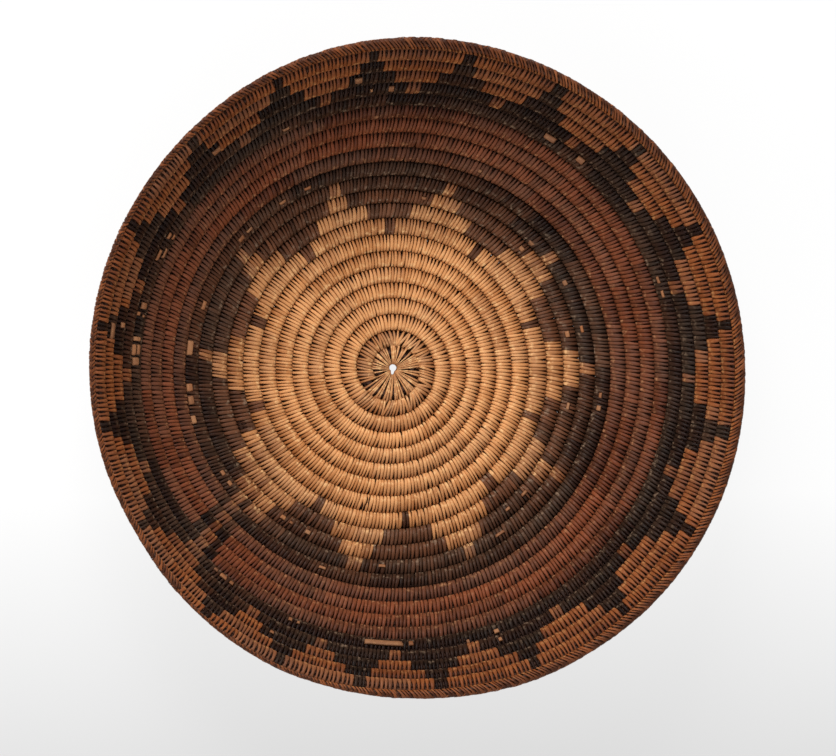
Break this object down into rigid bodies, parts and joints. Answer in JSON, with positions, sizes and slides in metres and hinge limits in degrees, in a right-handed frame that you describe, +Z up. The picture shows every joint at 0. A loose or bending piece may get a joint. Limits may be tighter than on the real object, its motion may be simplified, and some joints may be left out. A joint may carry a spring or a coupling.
{
  "type": "coiled wedding basket",
  "caption": "Shallow coiled basket bowl sewn from one spiral coil, natural at floor and rim, with a stepped black and red band and a radial pathway.",
  "frame": {"origin": "middle of the bowl's outline, in the plane that its floor rests on", "axes": "+Z up out of the bowl's mouth; +X along the slightly wider diameter; the radial pathway lies at 222 degrees, counted from +X towards +Y"},
  "size_m": [0.3542, 0.3481, 0.0897],
  "materials": {
    "foundation_rods": "peeled shoots, dull",
    "natural_splint": "split sumac, golden, semi-gloss from handling",
    "aged_splint": "split sumac, browned with age, semi-gloss",
    "black_splint": "split sumac, dyed warm black, worn semi-gloss",
    "red_splint": "split sumac, dyed red-brown, worn semi-gloss",
    "pale_splint": "bare splint ends, matt"
  },
  "bodies": {
    "root": {"foundation_rods": "foundation_rods", "start_coil_stitching": "natural_splint", "natural_center_stitching": "natural_splint", "black_star_stitching": "black_splint", "red_band_stitching": "red_splint", "black_step_stitching": "black_splint", "natural_outer_stitching": "aged_splint", "rim_stitching": "aged_splint", "exposed_splint_end_01": "pale_splint", "exposed_splint_end_02": "pale_splint", "exposed_splint_end_03": "pale_splint", "exposed_splint_end_04": "pale_splint", "exposed_splint_end_05": "pale_splint", "exposed_splint_end_06": "pale_splint", "exposed_splint_end_07": "pale_splint", "exposed_splint_end_08": "pale_splint", "exposed_splint_end_09": "pale_splint", "exposed_splint_end_10": "pale_splint", "exposed_splint_end_11": "pale_splint", "exposed_splint_end_12": "pale_splint", "exposed_splint_end_13": "pale_splint", "exposed_splint_end_14": "pale_splint", "exposed_splint_end_15": "pale_splint", "exposed_splint_end_16": "pale_splint", "exposed_splint_end_17": "pale_splint", "exposed_splint_end_18": "pale_splint", "exposed_splint_end_19": "pale_splint", "exposed_splint_end_20": "pale_splint"}
  },
  "joints": []
}
